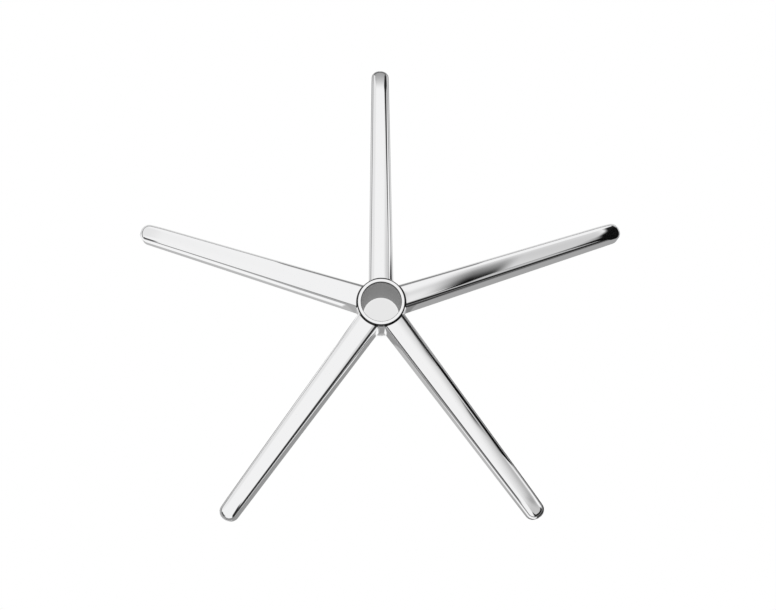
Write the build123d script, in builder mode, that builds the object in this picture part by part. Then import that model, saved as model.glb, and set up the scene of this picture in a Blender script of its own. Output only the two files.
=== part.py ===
# Five-arm chair base, cast in one piece from aluminium and polished.
#
# A tapered socket through the hub takes the chair's gas spring. Five slim arms fall gently
# from a raised rim to their rounded tips, and each tip has a socket below for a caster stem.
# The arms are open channels underneath, with cross ribs, as a die casting is.
#
# Millimetres, +Z up. The origin lies on the hub axis, level with the line where the arms'
# crowned tops run into the rim. One arm points along +Y.
from build123d import *
from math import asin, degrees, hypot, radians, sqrt, tan
import os

os.makedirs("parts", exist_ok=True)

# Gas spring socket
spring_radius = 25.0  # outer radius of the spring's tube
guide_clearance = 0.1  # radial room round the tube in the straight guide
guide_length = 18.0  # straight guide above the taper, mouth chamfer included
seat_slope = 1.438  # slope of the taper seat's wall, degrees a side
mouth_chamfer = 0.5
foot_chamfer = 1.0  # round the lower end of the socket

# Hub
hub_height = 78.0
rim_height = 3.2  # the rim stands this far above the arms
rim_wall = 5.2
rim_edge_radius = 1.9
rim_root_radius = 1.0  # hollow rounding between the rim and the arms
hub_shelf = 0.8  # how far the hub's wall stands outside the rim
shelf_drop = 9.0  # from the origin down to the shelf between two arms
sleeve_inset = 1.0  # below the arms the hub is this much slimmer at first
hub_foot_wall = 4.2
hub_foot_radius = 1.2  # rounding of the foot's outer edge
web_corner_radius = 4.0  # between an arm's wall and the hub's wall

# Arms
arm_count = 5
star_radius = 324.0  # hub axis to the end of an arm
arm_root_width = 31.6  # across the foot of the walls, at the rim
arm_tip_width = 23.0
arm_height = 36.0  # at the rim, from the level underside to the crown
arm_fall = 13.0  # the crown line's drop from the rim to the end
crown_radius = 80.0  # the top is crowned across its width
edge_radius = 6.5  # rounding between the top and the walls
wall_draft = 1.0  # degrees
tip_bow = 1.2  # the end of an arm bows out by this
tip_corner_radius = 10.6
roll_length = 32.0  # the top rolls down over this length before the end
roll_radius = 110.0

# Channel under each arm
channel_wall = 4.0
channel_roof = 4.5
channel_start = 12.0  # metal left between the hub's wall and the channel
channel_corner_radius = 3.0
rib_count = 4
rib_thickness = 3.0
rib_recess = 4.0  # the ribs end this far above the underside

# Caster sockets under the tips
stem_radius = 5.5
stem_clearance = 0.05
socket_depth = 22.0
socket_inset = 18.0  # socket axis to the end of the arm
boss_wall = 4.0
boss_drop = 8.0  # the boss stands this far below the arm
socket_chamfer = 0.8

# Dependent places
first_arm_angle = 90.0
half_pitch = 180.0 / arm_count
guide_radius = spring_radius + guide_clearance
rim_radius = guide_radius + rim_wall
hub_radius = rim_radius + hub_shelf
hub_foot_z = rim_height - hub_height
seat_top_z = rim_height - guide_length
seat_foot_radius = guide_radius - (seat_top_z - hub_foot_z) * tan(radians(seat_slope))
foot_radius = seat_foot_radius + hub_foot_wall
underside_z = -arm_height
root_half = arm_root_width / 2
tip_half = arm_tip_width / 2
narrowing = (root_half - tip_half) / (star_radius - rim_radius)
axis_half = root_half + rim_radius * narrowing
arm_start = guide_radius / 2  # the arms meet inside the hub, clear of its axis
start_half = axis_half - narrowing * arm_start
end_reach = star_radius - tip_bow
end_half = axis_half - narrowing * end_reach
fall_slope = arm_fall / (star_radius - rim_radius)
axis_crown_z = rim_radius * fall_slope
roll_start = star_radius - roll_length
roll_start_z = -arm_fall * (roll_start - rim_radius) / (star_radius - rim_radius)
socket_reach = star_radius - socket_inset
socket_radius = stem_radius + stem_clearance
boss_radius = socket_radius + boss_wall
boss_foot_z = underside_z - boss_drop

# The webs' corners are limited by the hub's wall that shows between two arms
wall_angle = degrees(asin(min(1.0, root_half / hub_radius)))
web_room = radians(half_pitch - wall_angle) * hub_radius
web_corner = web_corner_radius
if web_room > 0:
    web_corner = min(web_corner_radius, 0.8 * web_room / tan(radians(90 - wall_angle) / 2))

# One arm, along +X, solid
sky_half = axis_half + channel_wall  # the cutter that shapes the crown is wider than the arm
sky_drop = crown_radius - sqrt(crown_radius**2 - sky_half**2)
crown_sag = crown_radius - sqrt(crown_radius**2 - root_half**2)
sky_height = 2 * (arm_height + arm_fall)
roll_overrun = 2 * roll_length  # length of the cutter's rolled stretch

with BuildPart() as arm_block:
    with BuildSketch(Plane.XY.offset(underside_z)) as arm_plan:
        with BuildLine():
            Line((arm_start, -start_half), (end_reach, -end_half))
            ThreePointArc((end_reach, -end_half), (star_radius, 0), (end_reach, end_half))
            Polyline((end_reach, end_half), (arm_start, start_half), (arm_start, -start_half))
        make_face()
        fillet(arm_plan.vertices().group_by(Axis.X)[-1], tip_corner_radius)
    extrude(amount=arm_height + axis_crown_z + rim_height, taper=wall_draft)

    with BuildLine(Plane.XZ) as crown_line:
        crown = Line((0, axis_crown_z), (roll_start, roll_start_z))
        JernArc(crown @ 1, crown % 1, roll_radius, -degrees(roll_overrun / roll_radius))
    with BuildSketch(Plane(crown @ 0, x_dir=(0, 1, 0), z_dir=crown % 0)) as sky:
        with BuildLine():
            ThreePointArc((-sky_half, -sky_drop), (0, 0), (sky_half, -sky_drop))
            Polyline(
                (sky_half, -sky_drop), (sky_half, sky_height),
                (-sky_half, sky_height), (-sky_half, -sky_drop),
            )
        make_face()
    sweep(sky.sketch, path=crown_line.wires()[0], mode=Mode.SUBTRACT)

    top_faces = arm_block.faces().filter_by(lambda face: face.normal_at().Z > 0.7)
    wall_faces = arm_block.faces().filter_by(
        lambda face: abs(face.normal_at().Z) < 0.2 and face.center().X > channel_wall
    )
    fillet([edge for edge in top_faces.edges() if edge in wall_faces.edges()], edge_radius)

# The hollow under an arm, between the hub and the tip, less the cross ribs
core_start = hub_radius + channel_start
core_end = socket_reach
core_half_start = axis_half - core_start * narrowing - channel_wall
core_half_end = axis_half - core_end * narrowing - channel_wall
core_height = arm_height + axis_crown_z - channel_roof
rib_pitch = (core_end - boss_radius - core_start) / (rib_count + 1)
rib_height = core_height - rib_recess

with BuildPart() as channel_core:
    with BuildSketch(Plane.XY.offset(underside_z)):
        Polygon(
            (core_start, -core_half_start), (core_end, -core_half_end),
            (core_end, core_half_end), (core_start, core_half_start),
            align=None,
        )
    extrude(amount=core_height, taper=wall_draft)
    # The roof follows the crown line, a constant thickness below it
    with BuildSketch(Plane.XZ):
        Polygon(
            (core_start - channel_start, axis_crown_z - core_start * fall_slope - channel_roof),
            (star_radius, -arm_fall - channel_roof),
            (star_radius, sky_height),
            (core_start - channel_start, sky_height),
            align=None,
        )
    extrude(amount=axis_half, both=True, mode=Mode.SUBTRACT)
    roof = channel_core.faces().sort_by(Axis.Z)[-1]
    fillet(roof.edges(), channel_corner_radius)
    with Locations((socket_reach, 0, underside_z)):
        Cylinder(
            boss_radius, core_height, align=(Align.CENTER, Align.CENTER, Align.MIN),
            mode=Mode.SUBTRACT,
        )
    with Locations(*[
        (core_start + rib_pitch * (rib + 1), 0, underside_z + rib_recess)
        for rib in range(rib_count)
    ]):
        Box(
            rib_thickness, arm_root_width, rib_height,
            align=(Align.CENTER, Align.CENTER, Align.MIN), mode=Mode.SUBTRACT,
        )

# The boss under a tip, and the socket in it
with BuildPart() as tip_boss:
    with Locations((socket_reach, 0, boss_foot_z)):
        Cylinder(
            boss_radius, boss_drop + channel_roof, align=(Align.CENTER, Align.CENTER, Align.MIN)
        )
    chamfer(tip_boss.edges().group_by(Axis.Z)[0], socket_chamfer)

with BuildPart() as stem_socket:
    with Locations((socket_reach, 0, boss_foot_z)):
        Cylinder(
            socket_radius, socket_depth, align=(Align.CENTER, Align.CENTER, Align.MIN)
        )
        Cone(
            socket_radius + socket_chamfer, socket_radius, socket_chamfer,
            align=(Align.CENTER, Align.CENTER, Align.MIN),
        )

# The whole casting
with BuildPart() as star_base:
    # Hub and rim, turned about the socket's axis
    with BuildSketch(Plane.XZ) as hub_profile:
        with BuildLine():
            Polyline(
                (0, hub_foot_z), (foot_radius, hub_foot_z),
                (hub_radius - sleeve_inset, underside_z), (hub_radius, underside_z),
                (hub_radius, -shelf_drop), (rim_radius, -shelf_drop),
                (rim_radius, rim_height), (0, rim_height), (0, hub_foot_z),
            )
        make_face()
        corners = hub_profile.vertices()
        fillet(corners.sort_by_distance((rim_radius, 0, rim_height))[0], rim_edge_radius)
        fillet(corners.sort_by_distance((foot_radius, 0, hub_foot_z))[0], hub_foot_radius)
    revolve(axis=Axis.Z)

    # The webs between the arms, as tall as the hub's wall
    with BuildSketch(Plane.XY.offset(underside_z)) as web_plan:
        Circle(hub_radius)
        with PolarLocations(0, arm_count, start_angle=first_arm_angle):
            Polygon(
                (arm_start, -start_half), (core_start, narrowing * core_start - axis_half),
                (core_start, axis_half - narrowing * core_start), (arm_start, start_half),
                align=None,
            )
        inner_corners = web_plan.vertices().group_by(lambda corner: hypot(corner.X, corner.Y))[0]
        fillet(inner_corners, web_corner)
    extrude(amount=arm_height - shelf_drop, taper=wall_draft)

    with PolarLocations(0, arm_count, start_angle=first_arm_angle):
        add(arm_block.part)

    # Hollow rounding at the rim's root, where it stands on the arms
    rim_root = star_base.edges().filter_by(
        lambda edge: edge.geom_type not in (GeomType.CIRCLE, GeomType.LINE)
        and -edge_radius - crown_sag < edge.center().Z < rim_height - rim_edge_radius
        and all(abs(hypot((edge @ end).X, (edge @ end).Y) - rim_radius) < 0.01 for end in (0, 0.5, 1))
    )
    fillet(rim_root, rim_root_radius)

    # Bosses, channels and caster sockets
    with PolarLocations(0, arm_count, start_angle=first_arm_angle):
        add(tip_boss.part)
        add(channel_core.part, mode=Mode.SUBTRACT)
        add(stem_socket.part, mode=Mode.SUBTRACT)

    # Gas spring socket: chamfer, straight guide, taper seat, foot chamfer
    with BuildSketch(Plane.XZ):
        with BuildLine():
            Polyline(
                (0, rim_height), (guide_radius + mouth_chamfer, rim_height),
                (guide_radius, rim_height - mouth_chamfer), (guide_radius, seat_top_z),
                (seat_foot_radius, hub_foot_z + foot_chamfer),
                (seat_foot_radius + foot_chamfer, hub_foot_z),
                (0, hub_foot_z), (0, rim_height),
            )
        make_face()
    revolve(axis=Axis.Z, mode=Mode.SUBTRACT)

star_base.part.label = "star_base"
export_step(star_base.part, "parts/star_base.step")
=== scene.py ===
"""Five-arm chair base, one casting of polished aluminium, on a plain white studio floor."""

import logging
import math
from dataclasses import dataclass, field
from enum import IntEnum

import bmesh
import bpy
import numpy as np
from mathutils import Matrix, Vector
from mathutils.geometry import tessellate_polygon

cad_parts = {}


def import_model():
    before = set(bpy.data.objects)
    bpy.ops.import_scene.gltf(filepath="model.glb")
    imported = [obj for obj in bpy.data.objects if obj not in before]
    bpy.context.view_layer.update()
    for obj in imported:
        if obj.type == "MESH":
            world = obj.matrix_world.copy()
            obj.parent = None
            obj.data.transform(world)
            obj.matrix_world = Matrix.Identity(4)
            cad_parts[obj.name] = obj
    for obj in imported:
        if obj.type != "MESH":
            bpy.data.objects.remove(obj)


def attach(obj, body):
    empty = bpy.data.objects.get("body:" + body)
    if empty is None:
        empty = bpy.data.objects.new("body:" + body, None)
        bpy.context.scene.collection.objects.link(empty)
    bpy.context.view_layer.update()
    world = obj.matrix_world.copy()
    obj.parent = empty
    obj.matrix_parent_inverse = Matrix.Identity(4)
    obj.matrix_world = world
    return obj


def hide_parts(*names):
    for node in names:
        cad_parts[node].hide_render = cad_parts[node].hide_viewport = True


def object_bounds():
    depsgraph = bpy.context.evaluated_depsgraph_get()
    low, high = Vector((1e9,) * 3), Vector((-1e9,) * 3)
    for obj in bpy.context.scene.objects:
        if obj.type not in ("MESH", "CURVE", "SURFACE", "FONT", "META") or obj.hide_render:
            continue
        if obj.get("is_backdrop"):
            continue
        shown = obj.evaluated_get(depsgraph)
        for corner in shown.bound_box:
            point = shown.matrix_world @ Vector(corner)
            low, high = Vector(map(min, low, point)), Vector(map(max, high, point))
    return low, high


Tree = bpy.types.NodeTree
Socket = bpy.types.NodeSocket

LOG = logging.getLogger("chair_base")
MM = 0.001  # metres in a millimetre
ARM_COUNT = 5
FIRST_ARM_ANGLE = 90.0  # degrees
SKIN_GAP = 0.02  # mm between faces that would otherwise lie in one plane
AXIS_GAP = 0.01  # mm between a turned profile and its axis


class Finish(IntEnum):
    """Material slots of the casting."""

    POLISHED = 0
    MACHINED = 1
    CAST = 2


@dataclass(frozen=True)
class HubSizes:
    """Hub and rim, in millimetres, with z = 0 where the arms' tops run into the rim."""

    guide_radius: float = 25.1
    guide_length: float = 18.0
    seat_slope_deg: float = 1.438
    mouth_chamfer: float = 0.5
    foot_chamfer: float = 1.0
    height: float = 78.0
    rim_height: float = 3.2
    rim_wall: float = 5.2
    rim_edge_radius: float = 1.9
    shelf_width: float = 0.8
    shelf_z: float = -9.0
    sleeve_inset: float = 1.0
    foot_wall: float = 4.2
    foot_rounding: float = 1.2
    underside_z: float = -36.0
    web_corner: float = 4.0

    @property
    def rim_radius(self) -> float:
        """Outer radius of the rim."""
        return self.guide_radius + self.rim_wall

    @property
    def radius(self) -> float:
        """Radius of the hub's wall between the arms."""
        return self.rim_radius + self.shelf_width

    @property
    def foot_z(self) -> float:
        """Level of the hub's foot."""
        return self.rim_height - self.height

    @property
    def seat_foot_radius(self) -> float:
        """Radius of the taper seat at the hub's foot."""
        seat_length = self.height - self.guide_length
        return self.guide_radius - seat_length * math.tan(math.radians(self.seat_slope_deg))

    @property
    def foot_radius(self) -> float:
        """Outer radius of the hub's foot."""
        return self.seat_foot_radius + self.foot_wall


HUB = HubSizes()


@dataclass(frozen=True)
class ArmSizes:
    """One arm, in millimetres, with the hub axis at x = 0."""

    reach: float = 324.0
    root_reach: float = HUB.rim_radius
    root_width: float = 31.6
    tip_width: float = 23.0
    underside_z: float = HUB.underside_z
    fall: float = 13.0
    crown_radius: float = 80.0
    edge_radius: float = 6.5
    root_rounding: float = 1.0
    draft_deg: float = 1.0
    bow: float = 1.2
    corner_radius: float = 10.6
    roll_length: float = 32.0
    roll_radius: float = 110.0

    @property
    def narrowing(self) -> float:
        """Loss of half width per millimetre of reach."""
        return (self.root_width - self.tip_width) / 2 / (self.reach - self.root_reach)

    @property
    def axis_half(self) -> float:
        """Half width that the walls would have at the hub axis."""
        return self.root_width / 2 + self.root_reach * self.narrowing

    @property
    def slope(self) -> float:
        """Fall of the crown line per millimetre of reach."""
        return self.fall / (self.reach - self.root_reach)

    def half(self, x: np.ndarray) -> np.ndarray:
        """Half width across the feet of the walls."""
        return self.axis_half - self.narrowing * x

    def crown_line(self, x: np.ndarray) -> np.ndarray:
        """Height of the top along the arm's middle.

        Args:
            x: distances from the hub axis.

        Returns:
            The straight fall, then the roll down at the tip.
        """
        start = self.reach - self.roll_length
        start_z = -self.slope * (start - self.root_reach)
        tilt = math.atan(self.slope)
        centre_x = start - self.roll_radius * math.sin(tilt)
        centre_z = start_z - self.roll_radius * math.cos(tilt)
        straight = self.slope * (self.root_reach - x)
        rolled = centre_z + np.sqrt(np.maximum(self.roll_radius**2 - (x - centre_x) ** 2, 0.0))
        return np.where(x < start, straight, rolled)

    def top(self, x: np.ndarray, y: np.ndarray) -> np.ndarray:
        """Height of the crowned top, with the hollow rounding at the rim.

        Args:
            x: distances along the arm from the hub axis.
            y: distances across the arm from its middle.

        Returns:
            The heights.
        """
        crown = self.crown_line(x) - self.crown_radius + np.sqrt(self.crown_radius**2 - y**2)
        gap = np.clip(np.hypot(x, y) - self.root_reach, 0.0, self.root_rounding)
        rise = self.root_rounding - np.sqrt(
            np.maximum(self.root_rounding**2 - (self.root_rounding - gap) ** 2, 0.0)
        )
        return crown + rise


ARM = ArmSizes()


@dataclass(frozen=True)
class ChannelSizes:
    """The hollow under an arm, in millimetres."""

    lead: float = 12.0  # metal between the hub's wall and the channel
    wall: float = 4.0
    roof: float = 4.5
    corner_radius: float = 3.0
    draft_deg: float = 1.0
    rib_count: int = 4
    rib_thickness: float = 3.0
    rib_recess: float = 4.0
    rib_chamfer: float = 0.4
    rib_taper: float = 0.35  # a side, from the rib's free edge to the roof

    @property
    def start(self) -> float:
        """Distance from the hub axis to the channel."""
        return HUB.radius + self.lead


@dataclass(frozen=True)
class BossSizes:
    """The caster socket's boss, in millimetres."""

    inset: float = 18.0
    stem_radius: float = 5.5
    stem_clearance: float = 0.05
    socket_depth: float = 22.0
    wall: float = 4.0
    drop: float = 8.0
    chamfer: float = 0.8

    @property
    def reach(self) -> float:
        """Distance from the hub axis to the socket's axis."""
        return ARM.reach - self.inset

    @property
    def socket_radius(self) -> float:
        """Radius of the socket."""
        return self.stem_radius + self.stem_clearance

    @property
    def radius(self) -> float:
        """Outer radius of the boss."""
        return self.socket_radius + self.wall


@dataclass
class Draft:
    """Vertices, faces and finishes gathered before they become a mesh."""

    points: list = field(default_factory=list)
    faces: list = field(default_factory=list)
    finishes: list = field(default_factory=list)

    def add(self, points: np.ndarray, faces: list, finish: Finish) -> None:
        """Adds a patch in one finish.

        Args:
            points: its points, in millimetres.
            faces: its faces, as numbers of those points.
            finish: the finish of all its faces.
        """
        base = len(self.points)
        self.points.extend(np.asarray(points, float).tolist())
        self.faces.extend([tuple(base + int(i) for i in face) for face in faces])
        self.finishes.extend([int(finish)] * len(faces))

    def grid(self, rows: list, finish: Finish, closed: bool = False, flip: bool = False) -> None:
        """Adds quads between consecutive rows of points.

        Args:
            rows: arrays of equal length, one per row.
            finish: finish of the quads.
            closed: joins the end of each row to its start.
            flip: turns the quads over.
        """
        count = len(rows[0])
        faces = []
        for i in range(len(rows) - 1):
            for j in range(count if closed else count - 1):
                k = (j + 1) % count
                quad = (i * count + j, i * count + k, (i + 1) * count + k, (i + 1) * count + j)
                faces.append(quad[::-1] if flip else quad)
        self.add(np.concatenate(rows), faces, finish)

    def flat(self, loops: list, z: float, finish: Finish, up: bool) -> None:
        """Adds a level face.

        Args:
            loops: its outline, and after it the outlines of its holes.
            z: its level.
            finish: its finish.
            up: whether it faces up.
        """
        points = np.concatenate([at_level(loop, z) for loop in loops])
        parts = [[Vector((x, y, 0.0)) for x, y in loop] for loop in loops]
        self.add(points, facing(points, tessellate_polygon(parts), up), finish)

    def turned(self, degrees: float) -> "Draft":
        """Copies the patches, turned about the hub axis.

        Args:
            degrees: the turn, counterclockwise from above.

        Returns:
            The turned copy.
        """
        a = math.radians(degrees)
        turn = np.array([[math.cos(a), math.sin(a), 0], [-math.sin(a), math.cos(a), 0], [0, 0, 1]])
        points = (np.array(self.points) @ turn).tolist()
        return Draft(points, list(self.faces), list(self.finishes))

    def join(self, other: "Draft") -> None:
        """Takes in patches.

        Args:
            other: the draft that holds them.
        """
        base = len(self.points)
        self.points.extend(other.points)
        self.faces.extend([tuple(base + i for i in face) for face in other.faces])
        self.finishes.extend(other.finishes)

    def revolve(self, profile: list, finishes: list, centre: tuple, count: int) -> None:
        """Turns a closed profile of (radius, z) about a vertical axis.

        Args:
            profile: points, counterclockwise with the metal on the left.
            finishes: finish of each side, from its point to the next.
            centre: x and y of the axis.
            count: steps round the axis.
        """
        angles = np.arange(count) * 2 * math.pi / count
        turns = np.column_stack([np.cos(angles), np.sin(angles)])
        rings = [at_level(np.array(centre) + radius * turns, z) for radius, z in profile]
        rings.append(rings[0])
        for k, finish in enumerate(finishes):
            self.grid([rings[k], rings[k + 1]], finish, closed=True)

    def to_object(self, name: str, weld: float) -> bpy.types.Object:
        """Makes a mesh object of the patches.

        Args:
            name: name of the object and its mesh.
            weld: points closer than this, in millimetres, become one.

        Returns:
            The object, linked to the scene.
        """
        mesh = bpy.data.meshes.new(name)
        mesh.from_pydata((np.array(self.points) * MM).tolist(), [], self.faces)
        mesh.polygons.foreach_set("material_index", self.finishes)
        mesh.polygons.foreach_set("use_smooth", [True] * len(self.faces))
        piece = bpy.data.objects.new(name, mesh)
        bpy.context.scene.collection.objects.link(piece)
        work = bmesh.new()
        work.from_mesh(mesh)
        bmesh.ops.remove_doubles(work, verts=work.verts, dist=weld * MM)
        bmesh.ops.dissolve_degenerate(work, edges=work.edges, dist=weld * MM)
        work.to_mesh(mesh)
        work.free()
        return piece


def at_level(plan: np.ndarray, z: float | np.ndarray) -> np.ndarray:
    """Points of a plan at one level, or each at its own."""
    return np.column_stack([plan, np.broadcast_to(z, len(plan))])


def arc(centre: tuple, radius: float, start: float, end: float, count: int) -> np.ndarray:
    """Points of an arc in the plane.

    Args:
        centre: x and y of its centre.
        radius: its radius.
        start: angle of its first point, in radians.
        end: angle of its last point.
        count: how many points.

    Returns:
        The points, one per row.
    """
    angles = np.linspace(start, end, count)
    return np.column_stack([centre[0] + radius * np.cos(angles), centre[1] + radius * np.sin(angles)])


def facing(points: np.ndarray, triangles: list, up: bool) -> list:
    """Turns triangles over where needed, so that all face the same way.

    Args:
        points: the points that the triangles number.
        triangles: the triangles.
        up: whether they are to face up.

    Returns:
        The triangles, in the same order.
    """
    faces = []
    for triangle in triangles:
        a, b, c = (points[i] for i in triangle)
        turn = (b[0] - a[0]) * (c[1] - a[1]) - (b[1] - a[1]) * (c[0] - a[0])
        faces.append(triangle if (turn > 0) == up else triangle[::-1])
    return faces


def inset(loop: np.ndarray, amount: float | np.ndarray, closed: bool) -> np.ndarray:
    """Moves each point of a counterclockwise path inwards, with mitred corners.

    Args:
        loop: the path's points.
        amount: how far inwards, one value or one for each point.
        closed: whether the path's end joins its start.

    Returns:
        The moved points.
    """
    before = np.roll(loop, 1, 0)
    after = np.roll(loop, -1, 0)
    if not closed:
        before[0] = loop[0] * 2 - loop[1]
        after[-1] = loop[-1] * 2 - loop[-2]
    one = loop - before
    two = after - loop
    one /= np.linalg.norm(one, axis=1)[:, None]
    two /= np.linalg.norm(two, axis=1)[:, None]
    one = np.column_stack([-one[:, 1], one[:, 0]])
    two = np.column_stack([-two[:, 1], two[:, 0]])
    mitre = (one + two) / (1 + (one * two).sum(1))[:, None]
    return loop + mitre * np.broadcast_to(amount, len(loop))[:, None]


def corner_centre(offset: float, narrowing: float, circle_x: float, reach: float) -> tuple:
    """Centre of a rounding that touches an arm's wall and a circle.

    Args:
        offset: distance from the arm's middle, at x = 0, of the line along the wall that the
            centre lies on.
        narrowing: how much nearer that line comes per millimetre of x.
        circle_x: x of the circle's centre, which lies on the arm's middle.
        reach: distance from the circle's centre to the rounding's.

    Returns:
        Its x and y.
    """
    square = 1 + narrowing**2
    linear = -2 * (circle_x + offset * narrowing)
    constant = circle_x**2 + offset**2 - reach**2
    x = (-linear + math.sqrt(linear**2 - 4 * square * constant)) / (2 * square)
    return x, offset - narrowing * x


@dataclass
class Arm:
    """One arm along +X: crowned top, rounded edges, drafted walls, channel, ribs and boss.

    Lengths in millimetres. The steps are the faces along each stretch.
    """

    sizes: ArmSizes = ARM
    channel: ChannelSizes = field(default_factory=ChannelSizes)
    boss: BossSizes = field(default_factory=BossSizes)
    draft: Draft = field(default_factory=Draft)
    side_steps: int = 64
    tip_corner_points: int = 12
    tip_bow_points: int = 3
    edge_steps: int = 7
    wall_steps: int = 3
    root_steps: int = 6
    shoulder_passes: int = 3
    channel_points: int = 30
    channel_corner_points: int = 7
    channel_end_points: int = 15
    roof_corner_steps: int = 5
    boss_steps: int = 48
    root_overlap: float = 0.5  # the skin starts this far inside the rim
    round_reach: float = 60.0  # rows of the top follow the rim's curve up to here
    swell_length: float = 45.0  # rows of the top take on the tip's curve over this length
    rib_overlap: float = 1.0  # the ribs go this far into the walls and the roof
    boss_overlap: float = 1.5  # the underside goes this far into the boss
    neck_inset: float = 2.0  # the boss is this much slimmer inside the arm
    socket_end: float = 0.6  # thickness over the socket's end

    def root_stations(self) -> np.ndarray:
        """Spaces the first points of a side.

        Returns:
            Their distances along it, from inside the rim to the end of the hollow rounding.
        """
        a = self.sizes
        turn = np.linspace(math.pi / 2, 0.0, self.root_steps + 1)
        radii = a.root_reach + a.root_rounding * (1 - np.sin(turn))
        radii = np.concatenate([[a.root_reach - self.root_overlap], radii])
        top_half = a.root_width / 2 - a.edge_radius
        return np.sqrt(radii**2 - top_half**2)

    def outline(self) -> tuple[np.ndarray, int]:
        """Draws the foot of the walls, from the root round the tip and back.

        Returns:
            The points, and how many of them lie on each side.
        """
        a = self.sizes
        end_half = float(a.half(a.reach - a.bow))
        bow_radius = (end_half**2 + a.bow**2) / (2 * a.bow)
        bow_x = a.reach - bow_radius
        lean = math.sqrt(1 + a.narrowing**2)
        centre_x, centre_y = corner_centre(
            a.axis_half - a.corner_radius * lean, a.narrowing, bow_x, bow_radius - a.corner_radius
        )
        wall_angle = math.atan2(1.0, a.narrowing)
        bow_angle = math.atan2(centre_y, centre_x - bow_x)
        corner_x = centre_x + a.corner_radius * math.cos(wall_angle)
        near = self.root_stations()
        far = np.linspace(near[-1], corner_x, self.side_steps + 1)[1:]
        x = np.concatenate([near, far])
        right = np.column_stack([x, -a.half(x)])
        left = right[::-1] * (1, -1)
        second = arc(
            (centre_x, centre_y), a.corner_radius, bow_angle, wall_angle, self.tip_corner_points
        )
        first = second[::-1] * (1, -1)
        bow = arc((bow_x, 0), bow_radius, -bow_angle, bow_angle, self.tip_bow_points)
        return np.concatenate([right, first[1:], bow[1:], second[1:], left[1:]]), len(x)

    def skin(self) -> tuple[np.ndarray, np.ndarray]:
        """Adds the top, the rounded edges and the walls.

        Returns:
            The foot of the walls, and the line in plan where the top meets the hub.
        """
        a = self.sizes
        foot, stations = self.outline()
        draft = math.tan(math.radians(a.draft_deg))
        shoulder = a.top(foot[:, 0], foot[:, 1]) - a.edge_radius
        for _ in range(self.shoulder_passes):
            lean = (shoulder - a.underside_z) * draft
            plan = inset(foot, lean + a.edge_radius, False)
            shoulder = a.top(plan[:, 0], plan[:, 1]) - a.edge_radius
        rows = []
        for share in np.linspace(0, 1, self.wall_steps + 1):
            z = a.underside_z + (shoulder - a.underside_z) * share
            rows.append(at_level(inset(foot, lean * share, False), z))
        for turn in np.linspace(0, math.pi / 2, self.edge_steps + 1)[1:]:
            plan = inset(foot, lean + a.edge_radius * (1 - math.cos(turn)), False)
            z = a.top(plan[:, 0], plan[:, 1]) - a.edge_radius * (1 - math.sin(turn))
            rows.append(at_level(plan, z))
        self.draft.grid(rows, Finish.POLISHED)
        return foot, self.cap(rows[-1], stations)

    def cap(self, edge: np.ndarray, stations: int) -> np.ndarray:
        """Adds the crowned top inside its rounded edges.

        Args:
            edge: points where the rounded edges end, round the arm.
            stations: how many of them lie on each side.

        Returns:
            The line in plan where the top meets the hub.
        """
        a = self.sizes
        right = edge[:stations]
        left = edge[::-1][:stations]
        end = edge[stations - 1:len(edge) - stations + 1]
        spread = end[:, 1] / end[-1, 1]
        corner_x = right[-1, 0]
        rows = []
        for side_x, side_y in zip(right[:, 0], left[:, 1]):
            y = spread * side_y
            radius = math.hypot(side_x, side_y)
            follow = (self.round_reach - radius) / (self.round_reach - a.root_reach - a.root_rounding)
            follow = min(max(follow, 0.0), 1.0)
            x = side_x + (np.sqrt(radius**2 - y**2) - side_x) * follow
            swell = max(0.0, (side_x - corner_x) / self.swell_length + 1.0) ** 2
            x = x + swell * (end[:, 0] - corner_x)
            rows.append(np.column_stack([x, y, a.top(x, y)]))
        self.draft.grid(rows, Finish.POLISHED, flip=True)
        return rows[0][:, :2]

    def roof(self, x: np.ndarray) -> np.ndarray:
        """Height of the channel's roof."""
        return self.sizes.slope * (self.sizes.root_reach - x) - self.channel.roof

    def channel_plan(self) -> np.ndarray:
        """Draws the channel's foot: two walls, two corners and the bite of the boss.

        Returns:
            The points, counterclockwise.
        """
        a, c, b = self.sizes, self.channel, self.boss
        start_half = float(a.half(c.start)) - c.wall
        boss_half = float(a.half(b.reach)) - c.wall
        bite = math.asin(min(boss_half / b.radius, 1.0))
        meet = arc(
            (b.reach, 0), b.radius, math.pi + bite, math.pi - bite, self.channel_end_points
        )
        near = c.start + c.corner_radius
        x = np.linspace(near, meet[0, 0], self.channel_points)
        right = np.column_stack([x, -(a.half(x) - c.wall)])
        left = right[::-1] * (1, -1)
        low = arc(
            (near, -start_half + c.corner_radius), c.corner_radius,
            math.pi, 1.5 * math.pi, self.channel_corner_points,
        )
        high = low[::-1] * (1, -1)
        return np.concatenate([right, meet[1:-1], left, high[1:], low[:-1]])

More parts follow.
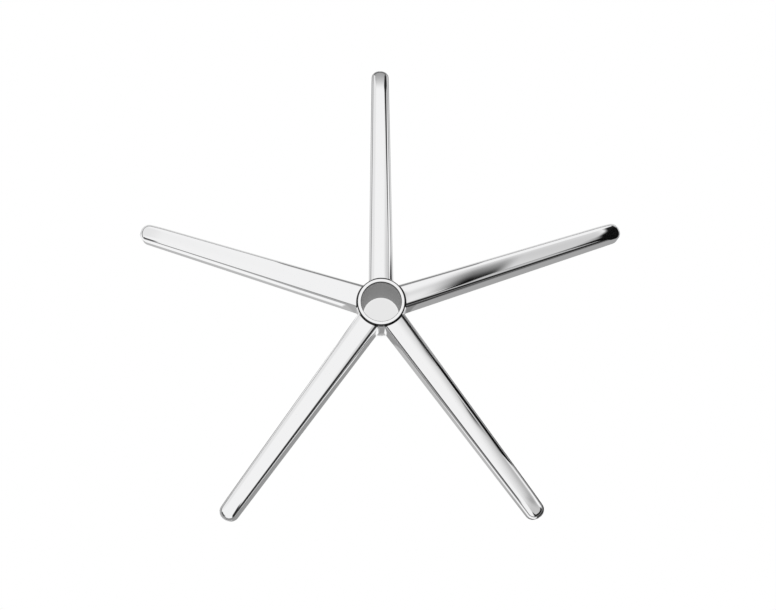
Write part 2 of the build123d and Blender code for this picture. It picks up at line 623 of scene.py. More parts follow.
    def hollow(self, foot: np.ndarray, sill: np.ndarray) -> None:
        """Adds the underside with the channel, its ribs and the opening over the boss.

        Args:
            foot: the foot of the walls.
            sill: the line in plan where the top meets the hub.
        """
        a, c, b = self.sizes, self.channel, self.boss
        loop = self.channel_plan()
        draft = math.tan(math.radians(c.draft_deg))
        shoulder = self.roof(loop[:, 0]) - c.corner_radius
        lean = (shoulder - a.underside_z) * draft
        rows = [at_level(loop, a.underside_z), at_level(inset(loop, lean, True), shoulder)]
        for turn in np.linspace(0, math.pi / 2, self.roof_corner_steps + 1)[1:]:
            plan = inset(loop, lean + c.corner_radius * (1 - math.cos(turn)), True)
            z = self.roof(plan[:, 0]) - c.corner_radius * (1 - math.sin(turn))
            rows.append(at_level(plan, z))
        self.draft.grid(rows, Finish.CAST, closed=True, flip=True)
        ceiling = rows[-1]
        triangles = tessellate_polygon([[Vector((x, y, 0.0)) for x, y in ceiling[:, :2]]])
        self.draft.add(ceiling, facing(ceiling, triangles, up=False), Finish.CAST)
        opening = arc(
            (b.reach, 0), b.radius - self.boss_overlap, 0, 2 * math.pi, self.boss_steps + 1
        )[:-1]
        outer = np.concatenate([foot, sill[::-1][1:-1]])
        self.draft.flat([outer, loop, opening], a.underside_z, Finish.CAST, up=False)
        pitch = (b.reach - b.radius - c.start) / (c.rib_count + 1)
        for k in range(c.rib_count):
            self.rib(c.start + pitch * (k + 1))

    def rib(self, x: float) -> None:
        """Adds one cross rib, let into the channel's walls and roof.

        Args:
            x: its distance from the hub axis.
        """
        c = self.channel
        half = float(self.sizes.half(x)) - c.wall + self.rib_overlap
        low = self.sizes.underside_z + c.rib_recess
        high = self.roof(x) + self.rib_overlap
        foot = c.rib_thickness / 2 - c.rib_taper
        rows = []
        for thickness, z in (
            (foot - c.rib_chamfer, low), (foot, low + c.rib_chamfer), (foot + c.rib_taper, high)
        ):
            near, far = x - thickness, x + thickness
            rows.append(at_level(
                np.array([(near, -half), (far, -half), (far, half), (near, half)]), z
            ))
        self.draft.grid(rows, Finish.CAST, closed=True)
        self.draft.add(rows[0], [(3, 2, 1, 0)], Finish.CAST)
        self.draft.add(rows[-1], [(0, 1, 2, 3)], Finish.CAST)

    def socket(self) -> None:
        """Adds the boss with the caster's stem socket."""
        b = self.boss
        foot = self.sizes.underside_z - b.drop
        step = self.sizes.underside_z + SKIN_GAP
        end = foot + b.socket_depth
        neck = b.radius - self.neck_inset
        profile = [
            (b.socket_radius + b.chamfer, foot), (b.radius - b.chamfer, foot),
            (b.radius, foot + b.chamfer), (b.radius, step), (neck, step),
            (neck, end + self.socket_end), (AXIS_GAP, end + self.socket_end), (AXIS_GAP, end),
            (b.socket_radius, end), (b.socket_radius, foot + b.chamfer),
        ]
        finishes = [Finish.MACHINED] * 2 + [Finish.CAST] * 4 + [Finish.MACHINED] * 4
        self.draft.revolve(profile, finishes, (b.reach, 0.0), self.boss_steps)

    def build(self) -> Draft:
        """Gathers the arm's patches.

        Returns:
            The whole arm along +X.
        """
        foot, sill = self.skin()
        self.hollow(foot, sill)
        self.socket()
        return self.draft


@dataclass
class Hub:
    """Hub, raised rim, gas spring socket and the webs between the arms.

    Lengths in millimetres.
    """

    sizes: HubSizes = HUB
    arm: ArmSizes = ARM
    steps: int = 240
    foot_points: int = 8
    rim_points: int = 12
    web_corner_points: int = 12
    web_back: float = 1.0  # the web starts this far before its corner, inside the arm
    web_ahead: float = 1.5  # and goes this far past the corner's end
    web_depth: float = 2.5  # inside the arm's wall

    def turned_body(self) -> Draft:
        """Turns the sleeve, shelf, rim and socket.

        Returns:
            The turned part.
        """
        h = self.sizes
        rounding = h.foot_rounding
        sleeve_x = h.radius - h.sleeve_inset
        step_z = h.underside_z + SKIN_GAP
        lean = math.atan2(sleeve_x - h.foot_radius, h.underside_z - h.foot_z)
        foot_turn = arc(
            (h.foot_radius - rounding, h.foot_z + rounding), rounding,
            -math.pi / 2, -lean, self.foot_points,
        )
        edge = h.rim_edge_radius
        rim_turn = arc(
            (h.rim_radius - edge, h.rim_height - edge), edge, 0, math.pi / 2, self.rim_points
        )
        outside = [
            (h.seat_foot_radius + h.foot_chamfer, h.foot_z), *foot_turn.tolist(),
            (sleeve_x, step_z), (h.radius, step_z), (h.radius, h.shelf_z),
            (h.rim_radius, h.shelf_z), *rim_turn.tolist(),
        ]
        inside = [
            (h.guide_radius + h.mouth_chamfer, h.rim_height),
            (h.guide_radius, h.rim_height - h.mouth_chamfer),
            (h.guide_radius, h.rim_height - h.guide_length),
            (h.seat_foot_radius, h.foot_z + h.foot_chamfer),
        ]
        finishes = [
            Finish.CAST if z < h.underside_z + SKIN_GAP / 2 else Finish.POLISHED
            for radius, z in outside
        ]
        finishes[0] = Finish.MACHINED
        finishes += [Finish.MACHINED] * len(inside)
        draft = Draft()
        draft.revolve(outside + inside, finishes, (0.0, 0.0), self.steps)
        return draft

    def web_plan(self) -> np.ndarray:
        """Draws the filled corner between the arm along +X and the next.

        Returns:
            The points, counterclockwise.
        """
        a, h, r = self.arm, self.sizes, self.sizes.web_corner
        centre_x, centre_y = corner_centre(
            a.axis_half + r * math.sqrt(1 + a.narrowing**2), a.narrowing, 0.0, h.radius + r
        )
        to_wall = math.atan2(-1.0, -a.narrowing)
        to_hub = math.atan2(-centre_y, -centre_x)
        hollow = arc((centre_x, centre_y), r, to_wall, to_hub, self.web_corner_points)
        wall_x = centre_x + r * math.cos(to_wall)
        back_x = wall_x - self.web_back
        ahead_x = wall_x + self.web_ahead
        buried = np.array([
            (back_x, a.half(back_x) - self.web_depth),
            (ahead_x, a.half(ahead_x) - self.web_depth),
            (ahead_x, a.half(ahead_x) - SKIN_GAP),
        ])
        half_path = np.concatenate([buried, hollow])
        pitch = 2 * math.pi / ARM_COUNT
        mirror = np.array([
            [math.cos(pitch), math.sin(pitch)], [math.sin(pitch), -math.cos(pitch)]
        ])
        return np.concatenate([half_path, (half_path @ mirror)[::-1]])

    def web(self) -> Draft:
        """Raises one web up to the shelf.

        Returns:
            The web between the arm along +X and the next.
        """
        plan = self.web_plan()
        low = self.sizes.underside_z + SKIN_GAP
        high = self.sizes.shelf_z - SKIN_GAP / 2
        top = inset(plan, (high - low) * math.tan(math.radians(self.arm.draft_deg)), True)
        draft = Draft()
        draft.grid([at_level(plan, low), at_level(top, high)], Finish.POLISHED, closed=True)
        draft.flat([plan], low, Finish.CAST, up=False)
        draft.flat([top], high, Finish.POLISHED, up=True)
        return draft


@dataclass
class StarBase:
    """The whole casting as one piece."""

    hub: Hub = field(default_factory=Hub)
    arm: Arm = field(default_factory=Arm)
    weld: float = 0.002  # mm
    sharp_angle: float = 35.0  # degrees
    normal_weight: int = 60

    def build(self) -> bpy.types.Object:
        """Makes the casting's mesh.

        Returns:
            The object, with a slot number for each face and no materials yet.
        """
        whole = Draft()
        whole.join(self.hub.turned_body())
        web = self.hub.web()
        arm = self.arm.build()
        for k in range(ARM_COUNT):
            angle = FIRST_ARM_ANGLE + 360.0 / ARM_COUNT * k
            whole.join(arm.turned(angle))
            whole.join(web.turned(angle))
        return whole.to_object("star_casting", self.weld)

    def dress(self, piece: bpy.types.Object, materials: list) -> None:
        """Gives the casting its finishes and clean normals.

        Args:
            piece: the casting.
            materials: one for each member of Finish, in order.
        """
        for material in materials:
            piece.data.materials.append(material)
        piece.data.set_sharp_from_angle(angle=math.radians(self.sharp_angle))
        weighted = piece.modifiers.new("weighted_normals", "WEIGHTED_NORMAL")
        weighted.keep_sharp = True
        weighted.weight = self.normal_weight


def node(tree: Tree, kind: str, inputs: dict | None = None, **props: object) -> bpy.types.Node:
    """Adds a node.

    Args:
        tree: nodes to add it to.
        kind: its type.
        inputs: sockets to link, or values to set, by name or number of the input.
        **props: the node's own properties.

    Returns:
        The node.
    """
    made = tree.nodes.new(kind)
    for name, value in props.items():
        setattr(made, name, value)
    for name, value in (inputs or {}).items():
        if isinstance(value, Socket):
            tree.links.new(value, made.inputs[name])
        else:
            made.inputs[name].default_value = value
    return made


def compute(tree: Tree, operation: str, *values: Socket | float) -> Socket:
    """Result of a sum on sockets or numbers."""
    return node(tree, "ShaderNodeMath", dict(enumerate(values)), operation=operation).outputs[0]


def blend(tree: Tree, share: Socket, first: Socket | float, second: Socket | float) -> Socket:
    """The first value where the share is 0, the second where it is 1."""
    return node(tree, "ShaderNodeMix", {0: share, 2: first, 3: second}).outputs[0]


def smooth(tree: Tree, value: Socket, clear: Socket | float, full: Socket | float) -> Socket:
    """Smooth step of a value, from 0 where it is at clear to 1 where it is at full."""
    return node(tree, "ShaderNodeMapRange", {
        0: value, 1: clear, 2: full, 3: 0.0, 4: 1.0,
    }, interpolation_type="SMOOTHSTEP").outputs[0]


def object_place(tree: Tree) -> Socket:
    """Position on the object, in metres."""
    return node(tree, "ShaderNodeTexCoord").outputs["Object"]


def away_from(tree: Tree, heading: Socket, azimuth: float) -> Socket:
    """Angle between a level direction and an azimuth.

    Args:
        tree: nodes to add it to.
        heading: the direction, of length 1.
        azimuth: degrees counterclockwise from +X.

    Returns:
        The angle in radians.
    """
    a = math.radians(azimuth)
    along = node(tree, "ShaderNodeVectorMath", {
        0: heading, 1: (math.cos(a), math.sin(a), 0.0),
    }, operation="DOT_PRODUCT").outputs["Value"]
    return compute(tree, "ARCCOSINE", along)


def new_group(name: str, inputs: dict, outputs: tuple) -> tuple:
    """Starts a shader node group.

    Args:
        name: name of the group.
        inputs: names and starting values of its inputs.
        outputs: names of its outputs.

    Returns:
        The group's tree and its input and output nodes.
    """
    tree = bpy.data.node_groups.new(name, "ShaderNodeTree")
    for label, value in inputs.items():
        socket = tree.interface.new_socket(label, in_out="INPUT", socket_type="NodeSocketFloat")
        socket.default_value = value
    for label in outputs:
        tree.interface.new_socket(label, in_out="OUTPUT", socket_type="NodeSocketFloat")
    return tree, tree.nodes.new("NodeGroupInput"), tree.nodes.new("NodeGroupOutput")


class Effects:
    """Shared effects, each one node group."""

    grain_detail: float = 3.0
    marks_detail: float = 2.0

    def __init__(self) -> None:
        """Builds the groups."""
        self.grain = self.make_grain()
        self.marks = self.make_marks()
        self.ring = self.make_ring()
        self.fade = self.make_fade()

    @staticmethod
    def height_and_shade(tree: Tree, noise: Socket, start: bpy.types.Node, end: bpy.types.Node) -> None:
        """Gives out noise as a height from 0 to 1, and as a shade that swings round 1.

        Args:
            tree: the group's nodes.
            noise: the noise, from 0 to 1.
            start: the group's input node, with a Spread.
            end: the group's output node, with a Height and a Shade.
        """
        centred = compute(tree, "SUBTRACT", noise, 0.5)
        shade = compute(tree, "MULTIPLY_ADD", centred, start.outputs["Spread"], 1.0)
        tree.links.new(noise, end.inputs["Height"])
        tree.links.new(shade, end.inputs["Shade"])

    def make_grain(self) -> Tree:
        """Makes uneven grain.

        Returns:
            The group.
        """
        tree, start, end = new_group(
            "metal_grain", {"Cells per metre": 100.0, "Spread": 0.1}, ("Height", "Shade")
        )
        noise = node(tree, "ShaderNodeTexNoise", {
            "Vector": object_place(tree), "Scale": start.outputs["Cells per metre"],
            "Detail": self.grain_detail,
        }).outputs["Fac"]
        self.height_and_shade(tree, noise, start, end)
        return tree

    def make_marks(self) -> Tree:
        """Fine marks round the vertical axis, left by turning.

        Returns:
            The group.
        """
        tree, start, end = new_group(
            "turning_marks", {"Marks per metre": 900.0, "Spread": 0.1}, ("Height", "Shade")
        )
        level = node(tree, "ShaderNodeSeparateXYZ", {0: object_place(tree)}).outputs["Z"]
        along = compute(tree, "MULTIPLY", level, start.outputs["Marks per metre"])
        noise = node(tree, "ShaderNodeTexNoise", {
            "W": along, "Scale": 1.0, "Detail": self.marks_detail,
        }, noise_dimensions="1D").outputs["Fac"]
        self.height_and_shade(tree, noise, start, end)
        return tree

    def make_ring(self) -> Tree:
        """Ring round the hub axis between two radii and two levels, in metres, where painted shade goes.

        Returns:
            The group, whose Cover is 1 inside the ring.
        """
        tree, start, end = new_group(
            "ring_cover", {"Inner": 0.0, "Outer": 1.0, "Low": 0.0, "High": 1.0, "Soft": 0.001},
            ("Cover",),
        )
        place = object_place(tree)
        level = node(tree, "ShaderNodeSeparateXYZ", {0: place}).outputs["Z"]
        flat = node(tree, "ShaderNodeVectorMath", {0: place, 1: (1.0, 1.0, 0.0)},
                    operation="MULTIPLY").outputs[0]
        reach = node(tree, "ShaderNodeVectorMath", {0: flat}, operation="LENGTH").outputs["Value"]
        cover = None
        for value, bound, outwards in (
            (reach, "Inner", "SUBTRACT"), (reach, "Outer", "ADD"),
            (level, "Low", "SUBTRACT"), (level, "High", "ADD"),
        ):
            full = start.outputs[bound]
            clear = compute(tree, outwards, full, start.outputs["Soft"])
            step = smooth(tree, value, clear, full)
            cover = step if cover is None else compute(tree, "MULTIPLY", cover, step)
        tree.links.new(cover, end.inputs["Cover"])
        return tree

    @staticmethod
    def make_fade() -> Tree:
        """Fade of a card along one axis.

        Returns:
            The group, whose Cover goes from 0 to 1 between two places.
        """
        tree, start, end = new_group(
            "card_fade", {"Place": 0.0, "Clear": 0.0, "Full": 1.0}, ("Cover",)
        )
        cover = smooth(tree, *(start.outputs[name] for name in ("Place", "Clear", "Full")))
        tree.links.new(cover, end.inputs["Cover"])
        return tree


@dataclass(frozen=True)
class PaintedShadeRing:
    """A ring of painted shade on the metal, in millimetres: where two surfaces meet in a groove, the
    colour is darkened to stand in for the shade there.
    """

    inner: float
    outer: float
    low: float
    high: float
    soft: float
    # colour of the painted shade
    grey: float

    def cover(self, tree: Tree, effects: Effects) -> Socket:
        """Adds the ring's mask to a material.

        Args:
            tree: the material's nodes.
            effects: the shared node groups.

        Returns:
            The mask, which is 1 inside the ring.
        """
        return node(tree, "ShaderNodeGroup", {
            "Inner": self.inner * MM, "Outer": self.outer * MM,
            "Low": self.low * MM, "High": self.high * MM, "Soft": self.soft * MM,
        }, node_tree=effects.ring).outputs["Cover"]


@dataclass(frozen=True)
class Metal:
    """One aluminium finish."""

    name: str
    colour: tuple
    roughness: float
    cells: float  # grain cells or turning marks per metre
    depth: float  # depth of the relief, in millimetres
    tone_spread: float
    gloss_spread: float = 0.3
    gloss_cells: float = 24.0
    turned: bool = False
    painted_shade: PaintedShadeRing | None = None

    def build(self, effects: Effects) -> bpy.types.Material:
        """Makes the material.

        Args:
            effects: the shared node groups.

        Returns:
            The material, with its colour, roughness and relief varied over the surface, and painted
            shade darkening its ring where it has one.
        """
        material = bpy.data.materials.new(self.name)
        material.use_nodes = True
        tree = material.node_tree
        shader = tree.nodes["Principled BSDF"]
        shader.inputs["Metallic"].default_value = 1.0
        relief = node(tree, "ShaderNodeGroup", {0: self.cells, "Spread": self.tone_spread},
                      node_tree=effects.marks if self.turned else effects.grain)
        haze = node(tree, "ShaderNodeGroup", {0: self.gloss_cells, "Spread": self.gloss_spread},
                    node_tree=effects.grain)
        tone = node(tree, "ShaderNodeVectorMath", {
            0: self.colour, "Scale": relief.outputs["Shade"],
        }, operation="SCALE").outputs[0]
        # darkens the colour inside the ring with painted shade
        if self.painted_shade is not None:
            cover = self.painted_shade.cover(tree, effects)
            dark = (self.painted_shade.grey, self.painted_shade.grey, self.painted_shade.grey, 1.0)
            tone = node(tree, "ShaderNodeMix", {0: cover, 6: tone, 7: dark}, data_type="RGBA").outputs[2]
        tree.links.new(tone, shader.inputs["Base Color"])
        rough = compute(tree, "MULTIPLY", haze.outputs["Shade"], self.roughness)
        tree.links.new(rough, shader.inputs["Roughness"])
        bump = node(tree, "ShaderNodeBump", {
            "Height": relief.outputs["Height"], "Distance": self.depth * MM, "Strength": 1.0,
        })
        tree.links.new(bump.outputs[0], shader.inputs["Normal"])
        return material


POLISHED_METAL = Metal(
    name="polished_aluminium_outer", colour=(0.93, 0.93, 0.935), roughness=0.035, cells=30.0,
    depth=0.004, tone_spread=0.01,
    # painted shade: a near-black ring over the rim's rounded edge and wall, where the arms' tops run
    # into it
    painted_shade=PaintedShadeRing(inner=29.1, outer=31.0, low=-8.5, high=4.0, soft=0.5, grey=0.02),
)
MACHINED_METAL = Metal(
    name="machined_aluminium", colour=(0.70, 0.70, 0.70), roughness=0.42, cells=1400.0,
    depth=0.01, tone_spread=0.10, turned=True,
    # painted shade: a dark ring on the bore's wall and chamfer just under its mouth
    painted_shade=PaintedShadeRing(inner=24.0, outer=26.0, low=-1.0, high=2.6, soft=0.8, grey=0.05),
)
CAST_METAL = Metal(
    name="cast_aluminium", colour=(0.66, 0.66, 0.66), roughness=0.48, cells=1100.0,
    depth=0.03, tone_spread=0.14,
)


@dataclass(frozen=True)
class Card:
    """A soft grey card of the sky, as seen from the object.

    Angles in degrees: azimuth counterclockwise from +X, elevation above the horizon.
    """

    azimuth: float
    half_width: float
    low: float
    high: float
    soft: float
    level: float
    foot_soft: float = 4.0


@dataclass(frozen=True)
class Sky:
    """World light: a white dome with soft cards, which only the metal shows."""

    dome_level: float = 0.95
    seen_level: float = 1.0
    cards: tuple = (
        Card(150.0, 30.0, 0.0, 60.0, 30.0, 0.84),
        Card(20.0, 50.0, 58.0, 75.0, 18.0, 0.64, 16.0),
        Card(-39.0, 37.0, 0.0, 42.0, 18.0, 0.02),
        Card(-67.0, 9.0, 0.0, 60.0, 12.0, 0.02),
        Card(48.0, 16.0, 0.0, 51.0, 8.0, 0.02),
        Card(211.0, 15.0, -6.0, 24.0, 8.0, 0.03),
        Card(0.0, 190.0, -6.0, 7.0, 5.0, 0.24),
        Card(90.0, 60.0, -6.0, 7.0, 5.0, 0.62),
        Card(243.0, 12.0, -6.0, 9.0, 6.0, 0.50),
    )

    def build(self) -> None:
        """Makes the world."""
        world = bpy.data.worlds.new("studio")
        bpy.context.scene.world = world
        world.use_nodes = True
        tree = world.node_tree
        tree.nodes.clear()
        direction = node(tree, "ShaderNodeTexCoord").outputs["Generated"]
        parts = node(tree, "ShaderNodeSeparateXYZ", {0: direction}).outputs
        level = node(tree, "ShaderNodeCombineXYZ", {0: parts["X"], 1: parts["Y"]}).outputs[0]
        heading = node(tree, "ShaderNodeVectorMath", {0: level}, operation="NORMALIZE").outputs[0]
        elevation = compute(tree, "ARCSINE", parts["Z"])
        value = self.dome_level
        for card in self.cards:
            value = blend(tree, self.cover(tree, card, heading, elevation), value, card.level)
        camera = node(tree, "ShaderNodeLightPath").outputs["Is Camera Ray"]
        light = node(tree, "ShaderNodeBackground", {
            "Strength": blend(tree, camera, value, self.seen_level),
        })
        light.inputs["Color"].default_value = (1.0, 1.0, 1.0, 1.0)
        out = node(tree, "ShaderNodeOutputWorld")
        tree.links.new(light.outputs[0], out.inputs["Surface"])

    @staticmethod
    def cover(tree: Tree, card: Card, heading: Socket, elevation: Socket) -> Socket:
        """Mask of one card.

        Args:
            tree: the world's nodes.
            card: the card.
            heading: level direction, of length 1.
            elevation: angle above the horizon, in radians.

        Returns:
            The mask, which is 1 on the card and soft at its edges.
        """
        cover = None
        for value, edge, soft in (
            (away_from(tree, heading, card.azimuth), card.half_width, card.soft),
            (elevation, card.high, card.soft),
            (elevation, card.low, -card.foot_soft),
        ):
            clear, full = math.radians(edge + soft / 2), math.radians(edge - soft / 2)
            step = smooth(tree, value, clear, full)
            cover = step if cover is None else compute(tree, "MULTIPLY", cover, step)
        return cover


@dataclass(frozen=True)
class Sector:
    """A greyer stretch of the floor with painted shade, which only the metal mirrors; seen from the hub
    axis, with angles in degrees.
    """

    azimuth: float
    half_width: float
    level: float


@dataclass(frozen=True)
class Floor:
    """A pale glowing floor: white to the camera but for painted shade under the hub; where only the
    metal mirrors it, painted shade greys it and painted light whitens it round the hub's foot.

    Lengths in millimetres. A pair of lengths says where a tone starts and where it is full.
    """

    half_size: float = 12000.0
    near_tone: float = 0.97
    far_tone: float = 0.10
    far_reach: tuple = (550.0, 850.0)
    shade_tone: float = 0.50
    shade_half_width: tuple = (30.0, 28.4)  # under an arm, carried on to the hub axis
    shade_length: tuple = (350.0, 335.0)
    shade_hub: tuple = (62.0, 58.0)
    # painted light: the floor round the hub's foot made white, which the camera doesn't see; the metal
    # mirrors it
    ring_tone: float = 1.0
    ring_reach: tuple = (35.2, 33.8)
    # painted shade inside the hub's opening, which the camera doesn't see; the metal mirrors it
    opening_tone: float = 0.36
    opening_reach: tuple = (27.0, 24.0)
    # painted shade under the hub, which the camera sees through the bore
    seen_tone: float = 0.80
    seen_reach: tuple = (32.0, 20.0)
    sector_edge: tuple = (3.0, -1.0)  # degrees outside a sector's half width
    # stretches of painted shade, which the camera doesn't see; the metal mirrors them
    sectors: tuple = (
        Sector(90.0, 72.0, 0.70),
        Sector(90.0, 14.0, 0.34),
        Sector(216.0, 18.0, 0.42),
        Sector(255.0, 21.0, 0.31),
        Sector(315.0, 11.0, 0.05),
        Sector(334.0, 10.0, 0.24),
        Sector(0.0, 18.0, 0.38),
    )

    def build(self, level: float) -> None:
        """Lays the floor.

        Args:
            level: its height, in metres.
        """
        s = self.half_size * MM
        mesh = bpy.data.meshes.new("floor")
        mesh.from_pydata([(-s, -s, 0), (s, -s, 0), (s, s, 0), (-s, s, 0)], [], [(0, 1, 2, 3)])
        mesh.materials.append(self.dress())
        piece = bpy.data.objects.new("floor", mesh)
        piece.location.z = level
        bpy.context.scene.collection.objects.link(piece)
        piece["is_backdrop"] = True

    def dress(self) -> bpy.types.Material:
        """Makes the floor's material.

        Returns:
            The material, which is clear from below so that the underside can be looked at.
        """
        material = bpy.data.materials.new("floor")
        material.use_nodes = True
        tree = material.node_tree
        tree.nodes.clear()
        place = object_place(tree)
        reach = node(tree, "ShaderNodeVectorMath", {0: place}, operation="LENGTH").outputs["Value"]
        far = self.within(tree, reach, self.far_reach)
        mirrored = blend(tree, far, self.near_tone, self.far_tone)
        mirrored = blend(tree, self.arm_shade(tree, place, reach), mirrored, self.shade_tone)
        mirrored = self.grey_sectors(tree, place, mirrored)
        # painted light round the hub's foot, and painted shade inside its opening
        for ends, tone in ((self.ring_reach, self.ring_tone), (self.opening_reach, self.opening_tone)):
            mirrored = blend(tree, self.within(tree, reach, ends), mirrored, tone)
        # painted shade under the hub, seen by the camera through the bore
        seen = blend(tree, self.within(tree, reach, self.seen_reach), 1.0, self.seen_tone)
        camera = node(tree, "ShaderNodeLightPath").outputs["Is Camera Ray"]
        glow = node(tree, "ShaderNodeEmission", {"Strength": blend(tree, camera, mirrored, seen)})
        clear = node(tree, "ShaderNodeBsdfTransparent")
        below = node(tree, "ShaderNodeNewGeometry").outputs["Backfacing"]
        both = node(tree, "ShaderNodeMixShader", {0: below, 1: glow.outputs[0], 2: clear.outputs[0]})
        out = node(tree, "ShaderNodeOutputMaterial")
        tree.links.new(both.outputs[0], out.inputs["Surface"])
        return material

    @staticmethod
    def within(tree: Tree, value: Socket, ends: tuple) -> Socket:
        """Smooth step of a length in metres between two ends in millimetres."""
        return smooth(tree, value, ends[0] * MM, ends[1] * MM)

    def grey_sectors(self, tree: Tree, place: Socket, value: Socket) -> Socket:
        """Paints shade on stretches of the floor, which only the metal mirrors, so that the arms'
        outlines read against it.

        Args:
            tree: the floor's nodes.
            place: position on the floor.
            value: brightness so far.

        Returns:
            The brightness with the grey stretches.
        """
        heading = node(tree, "ShaderNodeVectorMath", {0: place}, operation="NORMALIZE").outputs[0]
        for sector in self.sectors:
            clear, full = (math.radians(sector.half_width + edge) for edge in self.sector_edge)
            cover = smooth(tree, away_from(tree, heading, sector.azimuth), clear, full)
            value = blend(tree, cover, value, compute(tree, "MINIMUM", value, sector.level))
        return value

    def arm_shade(self, tree: Tree, place: Socket, reach: Socket) -> Socket:
        """Mask of the shade that the arms and the hub keep on the floor under them.

        Args:
            tree: the floor's nodes.
            place: position on the floor.
            reach: distance from the hub axis.

        Returns:
            A value of 1 in the shade and 0 outside it.
        """
        parts = node(tree, "ShaderNodeSeparateXYZ", {0: place}).outputs
        angle = compute(tree, "ARCTAN2", parts["Y"], parts["X"])
        pitch = 2 * math.pi / ARM_COUNT
        start = math.radians(FIRST_ARM_ANGLE) - pitch / 2
        folded = compute(tree, "FLOORED_MODULO", compute(tree, "SUBTRACT", angle, start), pitch)
        sine = compute(tree, "SINE", compute(tree, "SUBTRACT", folded, pitch / 2))
        aside = compute(tree, "ABSOLUTE", compute(tree, "MULTIPLY", sine, reach))
        aside = compute(tree, "MULTIPLY_ADD", reach, ARM.narrowing, aside)
        across = self.within(tree, aside, self.shade_half_width)
        along = self.within(tree, reach, self.shade_length)
        hub = self.within(tree, reach, self.shade_hub)
        return compute(tree, "MAXIMUM", compute(tree, "MULTIPLY", across, along), hub)


@dataclass(frozen=True)
class Fade:
    """Places along an axis, in millimetres, where a card is clear and where it is full."""

    axis: str
    clear: float
    full: float


@dataclass(frozen=True)
class BlackCard:
    """An upright or level black card beside the base, out of the camera's sight.

    Lengths in millimetres.
    """

    name: str
    low: tuple
    high: tuple
    fades: tuple
    strength: float = 1.0  # how much it hides where it is full
    grey: float = 0.01
    roughness: float = 0.9

    def corners(self) -> list:
        """Works out the card's corners from its lowest and highest one.

        Returns:
            Its four corners in metres, in order round the card.
        """
        wide, tall = [axis for axis in range(3) if self.low[axis] != self.high[axis]]
        second, fourth = list(self.low), list(self.low)
        second[wide] = self.high[wide]
        fourth[tall] = self.high[tall]
        return [[length * MM for length in corner] for corner in (self.low, second, self.high, fourth)]

    def build(self, effects: Effects) -> None:
        """Hangs the card.

        Args:
            effects: the shared node groups.
        """
        mesh = bpy.data.meshes.new(self.name)
        mesh.from_pydata(self.corners(), [], [(0, 1, 2, 3)])
        mesh.materials.append(self.dress(effects))
        piece = bpy.data.objects.new(self.name, mesh)
        piece.visible_camera = False
        piece.visible_shadow = False
        bpy.context.scene.collection.objects.link(piece)
        piece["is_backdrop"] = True

    def dress(self, effects: Effects) -> bpy.types.Material:
        """Makes the card's material.

        Args:
            effects: the shared node groups.

        Returns:
            A black material that thins out towards some of the card's edges.
        """
        material = bpy.data.materials.new(self.name)
        material.use_nodes = True
        tree = material.node_tree
        shader = tree.nodes["Principled BSDF"]
        shader.inputs["Base Color"].default_value = (self.grey, self.grey, self.grey, 1.0)
        shader.inputs["Roughness"].default_value = self.roughness
        shader.inputs["Specular IOR Level"].default_value = 0.0
        parts = node(tree, "ShaderNodeSeparateXYZ", {0: object_place(tree)}).outputs
        cover = self.strength
        for fade in self.fades:
            step = node(tree, "ShaderNodeGroup", {
                "Place": parts[fade.axis], "Clear": fade.clear * MM, "Full": fade.full * MM,
            }, node_tree=effects.fade).outputs["Cover"]
            cover = compute(tree, "MULTIPLY", cover, step)
        tree.links.new(cover, shader.inputs["Alpha"])
        return material


BLACK_CARDS = (
    BlackCard(
        "front_card", (80.0, -600.0, 500.0), (700.0, 60.0, 500.0),
        (Fade("X", 130.0, 380.0), Fade("Y", 60.0, 0.0)), strength=0.3844,
    ),
    BlackCard(
        "tip_card", (420.0, -40.0, -70.0), (420.0, 230.0, 550.0),
        (Fade("Z", 520.0, 260.0), Fade("Y", 230.0, 190.0)),
    ),
    BlackCard(
        "streak_card", (90.0, -20.0, 300.0), (270.0, 260.0, 300.0),
        (Fade("X", 100.0, 180.0), Fade("X", 255.0, 215.0), Fade("Y", 250.0, 60.0),
         Fade("Y", -20.0, 10.0)),
    ),
    BlackCard(
        "edge_card", (160.0, -140.0, 290.0), (270.0, 20.0, 290.0),
        (Fade("X", 165.0, 195.0), Fade("X", 255.0, 215.0), Fade("Y", -140.0, -90.0),
         Fade("Y", 20.0, -10.0)),
    ),
    BlackCard(
        "north_card", (-100.0, 460.0, -70.0), (100.0, 460.0, 300.0),
        (Fade("Z", 260.0, 50.0),), strength=0.62,
    ),
)


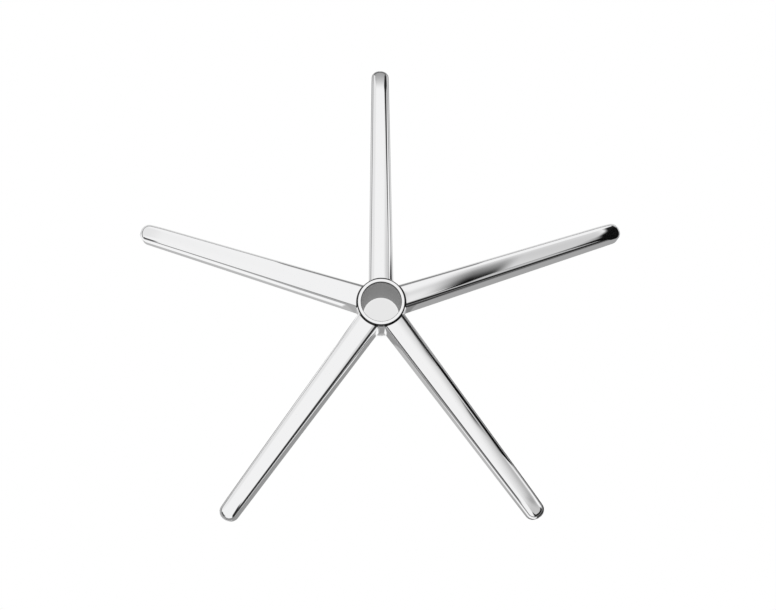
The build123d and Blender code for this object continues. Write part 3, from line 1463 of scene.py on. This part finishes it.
@dataclass(frozen=True)
class PhotoCamera:
    """The camera, which images the rim's centre where the photograph has it.

    Lengths in millimetres, angles in degrees.
    """

    photo_width: int = 776
    photo_height: int = 610
    rim_pixel: tuple = (381.3, 301.4)
    pixels_per_mm: float = 0.807
    elevation: float = 76.5
    distance: float = 1220.0
    turn: float = -3.19
    roll: float = 2.92
    sensor_width: float = 36.0
    nearest: float = 50.0
    farthest: float = 60000.0

    def build(self, rim_top: float) -> None:
        """Places the camera.

        Args:
            rim_top: height of the rim's top, in metres.
        """
        right, up, back = self.directions()
        aside = (self.photo_width / 2 - self.rim_pixel[0]) / self.pixels_per_mm
        above = (self.rim_pixel[1] - self.photo_height / 2) / self.pixels_per_mm
        place = Vector((0, 0, rim_top)) + (right * aside + up * above + back * self.distance) * MM
        data = bpy.data.cameras.new("camera")
        data.sensor_width = self.sensor_width
        data.lens = self.pixels_per_mm * self.distance / self.photo_width * self.sensor_width
        data.clip_start = self.nearest * MM
        data.clip_end = self.farthest * MM
        camera = bpy.data.objects.new("camera", data)
        camera.matrix_world = Matrix((
            (right.x, up.x, back.x, place.x), (right.y, up.y, back.y, place.y),
            (right.z, up.z, back.z, place.z), (0, 0, 0, 1),
        ))
        bpy.context.scene.collection.objects.link(camera)
        bpy.context.scene.camera = camera

    def directions(self) -> tuple[Vector, Vector, Vector]:
        """Works out how the camera is turned.

        Returns:
            Its right, its up and the direction behind it.
        """
        e = math.radians(self.elevation)
        lean = math.radians(self.roll)
        turn = Matrix.Rotation(math.radians(self.turn), 3, "Z")
        level = turn @ Vector((1, 0, 0))
        steep = turn @ Vector((0, math.sin(e), math.cos(e)))
        back = turn @ Vector((0, -math.cos(e), math.sin(e)))
        right = level * math.cos(lean) + steep * math.sin(lean)
        up = steep * math.cos(lean) - level * math.sin(lean)
        return right, up, back


def main() -> None:
    """Builds the scene in order and reports each piece."""
    logging.basicConfig(level=logging.INFO, format="%(name)s: %(message)s")
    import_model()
    cad_low, cad_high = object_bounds()
    bpy.context.scene.view_settings.view_transform = "Standard"
    effects = Effects()
    star = StarBase()
    base = star.build()
    star.dress(base, [metal.build(effects) for metal in (POLISHED_METAL, MACHINED_METAL, CAST_METAL)])
    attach(base, "root")
    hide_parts("star_base")
    LOG.info("casting: %d faces", len(base.data.polygons))
    sky = Sky()
    sky.build()
    LOG.info("sky: %d cards", len(sky.cards))
    Floor().build(cad_low.z)
    LOG.info("floor: at %.4f m", cad_low.z)
    for card in BLACK_CARDS:
        card.build(effects)
        LOG.info("card: %s", card.name)
    PhotoCamera().build(cad_high.z)


if __name__ == "__main__":
    main()
